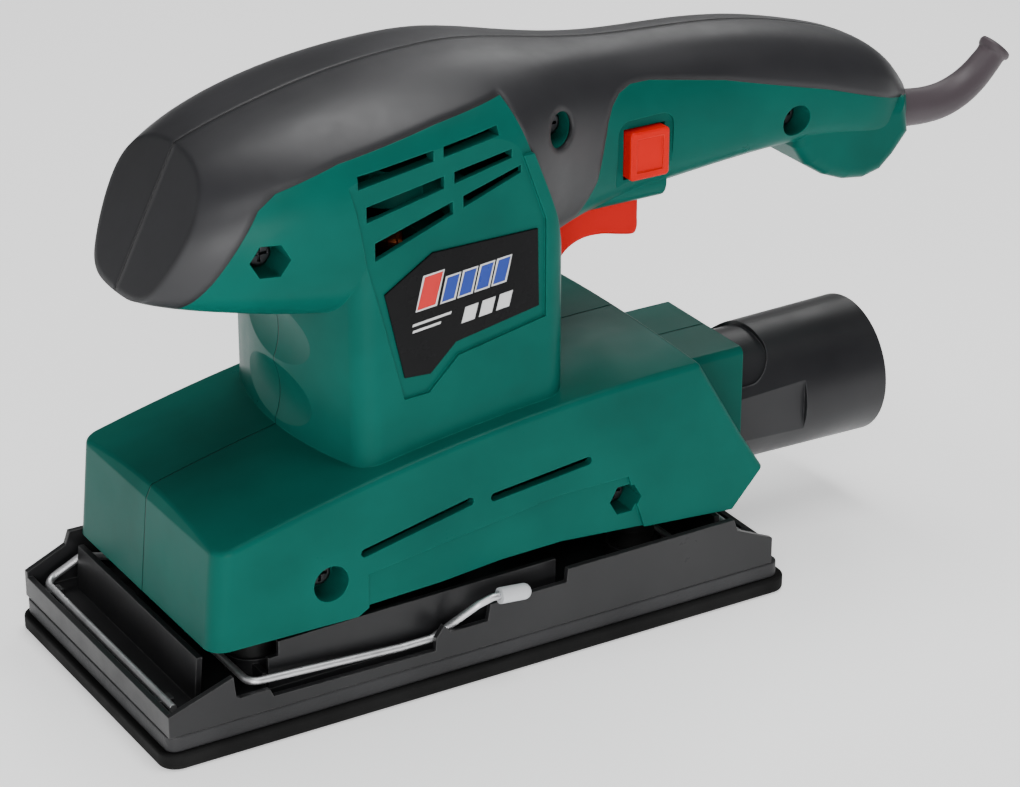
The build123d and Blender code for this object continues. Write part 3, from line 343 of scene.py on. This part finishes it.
finish = {slot: moulded(slot, *look, **special) for slot, (*look, special) in MOULDED.items()}
finish.update({slot: metal(slot, *look) for slot, look in METALS.items()})
ink = {name: moulded(name, *look, INK_ROUGH, INK_GRAIN, INK_DEPTH) for name, look in INKS.items()}

for part in frame["record"]["subparts"]:
    slots = nodes[part["node"]].data.materials
    slots.clear()
    slots.append(finish[part["material_slot"]])


# ---- Pieces that stand for plainer CAD shapes, in millimetres --------------------------------
def smooth_path(points, steps):
    """Catmull-Rom curve through points of any dimension."""
    out = []
    last = len(points) - 1
    for i in range(last):
        a, b, c, d = (points[max(min(k, last), 0)] for k in (i - 1, i, i + 1, i + 2))
        for step in range(steps):
            t = step / steps
            out.append([
                0.5 * (2 * q + (r - p) * t + (2 * p - 5 * q + 4 * r - s) * t**2
                       + (3 * q - p - 3 * r + s) * t**3)
                for p, q, r, s in zip(a, b, c, d)
            ])
    out.append(list(points[-1]))
    return out


def mesh_piece(name, verts, faces, material, smooth=True):
    data = bpy.data.meshes.new(name)
    data.from_pydata([[c * MM for c in v] for v in verts], [], faces)
    work = bmesh.new()
    work.from_mesh(data)
    bmesh.ops.recalc_face_normals(work, faces=work.faces)
    work.to_mesh(data)
    work.free()
    for polygon in data.polygons:
        polygon.use_smooth = smooth
    piece = bpy.data.objects.new(name, data)
    scene.collection.objects.link(piece)
    data.materials.append(material)
    return piece


def slab(name, outline, y0, y1, material, smooth=False):
    """Solid from an XZ outline between two y values."""
    count = len(outline)
    verts = [(x, y, z) for y in (y0, y1) for x, z in outline]
    faces = [list(range(count)), list(range(2 * count - 1, count - 1, -1))]
    for i in range(count):
        j = (i + 1) % count
        faces.append([i, j, count + j, count + i])
    return mesh_piece(name, verts, faces, material, smooth)


def soften(piece, width, segments, angle):
    """Round a piece's edges that are sharper than angle, in degrees."""
    rounding = piece.modifiers.new("edge", "BEVEL")
    rounding.harden_normals = True
    rounding.width = width * MM
    rounding.segments = segments
    rounding.limit_method = "ANGLE"
    rounding.angle_limit = radians(angle)


def ring_skin(name, stops, around, material):
    """Closed skin of rings; each stop is centre x, centre z, direction angle in XZ, radius."""
    verts, faces = [], []
    for x, z, angle, radius in stops:
        for k in range(around):
            turn = 2 * pi * k / around
            side, rise = radius * cos(turn), radius * sin(turn)
            verts.append((x - rise * sin(angle), side, z + rise * cos(angle)))
    rows = len(stops)
    for i in range(rows):
        j = (i + 1) % rows
        for k in range(around):
            m = (k + 1) % around
            faces.append([i * around + k, i * around + m, j * around + m, j * around + k])
    return mesh_piece(name, verts, faces, material)


# The trigger's outline as x, z: the curve under the fingers from the rear to the front, then
# the straight front and top.
TRIGGER_FINGER = [
    (67.4, 101.0), (67.4, 98.4), (66.2, 96.4), (62.0, 97.0), (56.0, 98.3), (50.3, 98.3),
    (45.6, 96.4), (42.6, 93.0), (41.0, 89.0), (39.8, 84.4), (36.8, 81.5), (33.0, 81.0),
]
TRIGGER_STRAIGHT = [(30.6, 81.0), (30.6, 112.8), (67.4, 112.8)]
TRIGGER_STEPS, TRIGGER_HALF = 5, 7.0
TRIGGER_ROUND, TRIGGER_ROUND_STEPS, TRIGGER_ROUND_ANGLE = 1.1, 4, 40


def make_trigger():
    outline = [tuple(p) for p in smooth_path(TRIGGER_FINGER, TRIGGER_STEPS)] + TRIGGER_STRAIGHT
    piece = slab("trigger_moulding", outline, -TRIGGER_HALF, TRIGGER_HALF,
                 finish["red_plastic"], smooth=True)
    soften(piece, TRIGGER_ROUND, TRIGGER_ROUND_STEPS, TRIGGER_ROUND_ANGLE)
    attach(piece, "trigger_lever")
    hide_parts("trigger")


# Along the sleeve: centre x and z, outer radius, radius of the cord's hole.
SLEEVE_STOPS = [
    (142.0, 113.0, 5.25, 3.3), (152.0, 113.0, 5.25, 3.3), (158.5, 112.2, 5.25, 3.3),
    (165.5, 111.6, 5.1, 3.2), (172.0, 112.0, 4.95, 3.1), (178.0, 113.9, 4.7, 2.9),
    (183.0, 116.9, 4.4, 2.7), (187.4, 120.9, 4.1, 2.45), (188.9, 122.6, 4.1, 2.4),
    (189.5, 123.3, 4.6, 2.4), (190.1, 123.9, 4.8, 2.4), (190.7, 124.5, 4.5, 2.5),
]
SLEEVE_STEPS, SLEEVE_AROUND = 6, 40


def make_sleeve():
    path = smooth_path(SLEEVE_STOPS, SLEEVE_STEPS)
    last = len(path) - 1
    outer, inner = [], []
    for i, (x, z, radius, hole) in enumerate(path):
        before, after = path[max(i - 1, 0)], path[min(i + 1, last)]
        angle = atan2(after[1] - before[1], after[0] - before[0])
        outer.append((x, z, angle, radius))
        inner.append((x, z, angle, hole))
    piece = ring_skin("sleeve_moulding", outer + inner[::-1], SLEEVE_AROUND,
                      finish["sleeve_rubber"])
    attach(piece, "housing")
    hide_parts("cord_sleeve")


# The label's face and its blocks, which lean and climb with the print they stand for.
LABEL_Y = -34.6
MARK_LEAN, MARK_LEAN_OVER, MARK_CLIMB = 2.2, 8.0, 0.11
BORDER_RIM = 0.45
BORDER_DEPTHS, MARK_DEPTHS = (0.03, 0.005), (0.055, 0.032)    # proud of the label's face
# First block's x, z, width and height, the step in x, z and width, how many, ink, bordered.
MARK_ROWS = (
    ((-15.6, 103.2, 5.2, 8.4), (0.0, 0.0, 0.0), 1, "label_red", True),
    ((-8.6, 103.9, 3.5, 6.2), (4.9, 0.5, 0.0), 4, "label_blue", True),
    ((-3.0, 96.9, 3.8, 4.2), (5.0, 0.6, 0.0), 3, "label_white", False),
    ((-17.0, 99.0, 11.0, 0.7), (0.0, -1.7, -3.0), 2, "label_white", False),
)


def label_block(name, x, z, wide, tall, rim, depths, material):
    """Leaning block on the label, grown by rim on every side."""
    slope = MARK_LEAN * tall / MARK_LEAN_OVER
    rise = wide * MARK_CLIMB
    outline = [
        (x - rim, z - rim), (x + wide + rim, z + rise - rim),
        (x + wide + slope + rim, z + rise + tall + rim), (x + slope - rim, z + tall + rim),
    ]
    piece = slab(name, outline, LABEL_Y - depths[0], LABEL_Y - depths[1], material)
    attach(piece, "housing")


def make_label_marks():
    """Generic slanted blocks where the real label has its print."""
    index = 0
    for (x, z, wide, tall), (step_x, step_z, step_wide), count, colour, bordered in MARK_ROWS:
        for k in range(count):
            block = (x + step_x * k, z + step_z * k, wide + step_wide * k, tall)
            if bordered:
                label_block(f"label_border_{index}", *block, BORDER_RIM, BORDER_DEPTHS,
                            ink["label_white"])
            label_block(f"label_mark_{index}", *block, 0.0, MARK_DEPTHS, ink[colour])
            index += 1


make_trigger()
make_sleeve()
make_label_marks()
